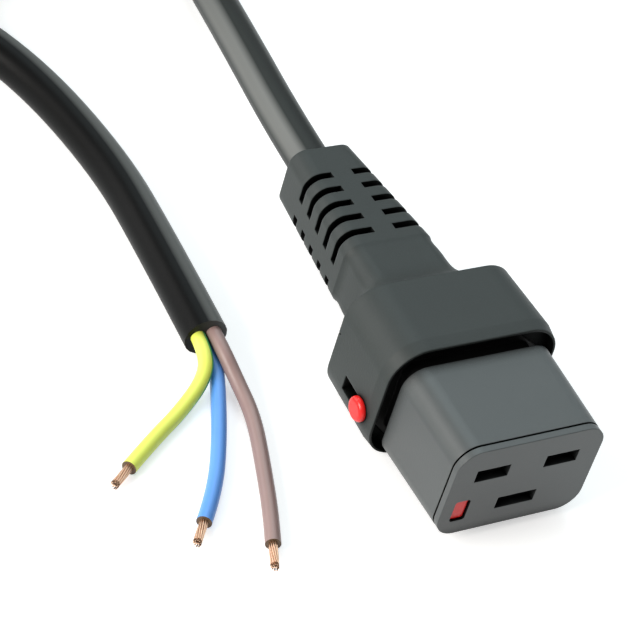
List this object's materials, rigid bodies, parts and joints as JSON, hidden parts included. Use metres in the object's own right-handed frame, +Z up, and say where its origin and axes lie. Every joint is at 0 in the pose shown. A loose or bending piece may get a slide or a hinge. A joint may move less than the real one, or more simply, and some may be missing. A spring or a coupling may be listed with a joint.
{
  "type": "c19 power connector",
  "caption": "Latching mains cord connector with a rectangular nose, a red release button, a slotted strain relief and a coiled cord with stripped ends.",
  "frame": {"origin": "middle of the connector's bounding box, at the flat underside of its collar (its cord and what hangs on it left out)", "axes": "+Y from the nose's face back along the cord's exit, so the nose points to -Y; +Z up; +X to the right seen from the cord's side"},
  "size_m": [0.0916, 0.2398, 0.0327],
  "materials": {
    "nose_plastic": "fine moulded grain, satin",
    "grip_plastic": "soft moulded plastic, satin",
    "carrier_plastic": "hard black moulding",
    "contact_brass": "stamped, bright",
    "latch_steel": "stamped or drawn steel",
    "release_red": "hard moulded, slightly glossy",
    "cord_sheath": "smooth extruded sheath",
    "core_brown": "extruded insulation",
    "core_blue": "extruded insulation",
    "core_green_yellow": "extruded insulation, yellow with green",
    "bare_copper": "bare stranded copper"
  },
  "bodies": {
    "housing": {"front_plate": "nose_plastic", "nose_shell": "nose_plastic", "grip_overmould": "grip_plastic", "contact_carrier": "carrier_plastic", "rear_cap": "carrier_plastic", "inner_moulding": "carrier_plastic", "line_contact": "contact_brass", "neutral_contact": "contact_brass", "earth_contact": "contact_brass", "lock_pin": "latch_steel", "lock_spring": "latch_steel", "return_spring": "latch_steel", "cord_run": "cord_sheath", "cord_coil": "cord_sheath", "cord_end_run": "cord_sheath", "line_lead": "core_brown", "neutral_lead": "core_blue", "earth_lead": "core_green_yellow", "brown_core": "core_brown", "blue_core": "core_blue", "earth_core": "core_green_yellow", "brown_strands": "bare_copper", "blue_strands": "bare_copper", "earth_strands": "bare_copper"},
    "slider": {"release_slider": "release_red"},
    "latch": {"lock_plate": "latch_steel"}
  },
  "joints": [
    {"name": "release_slide", "type": "slide", "parent": "housing", "child": "slider", "axis": [0, 1, 0], "range_m": [0, 0.0036], "stiffness_N_per_m": 1000, "springref_m": -0.003, "deforming": ["return_spring", "lock_spring"]},
    {"name": "lock_tilt", "type": "hinge", "parent": "housing", "child": "latch", "pos_m": [0.00055, -0.02485, 0.01735], "axis": [1, 0, 0], "range_deg": [0, 16], "stiffness_Nm_per_rad": 0.02, "springref_deg": -11.46}
  ],
  "couplings": [
    {"joint": "lock_tilt", "follows": "release_slide", "rad_per_m": 77.5}
  ]
}
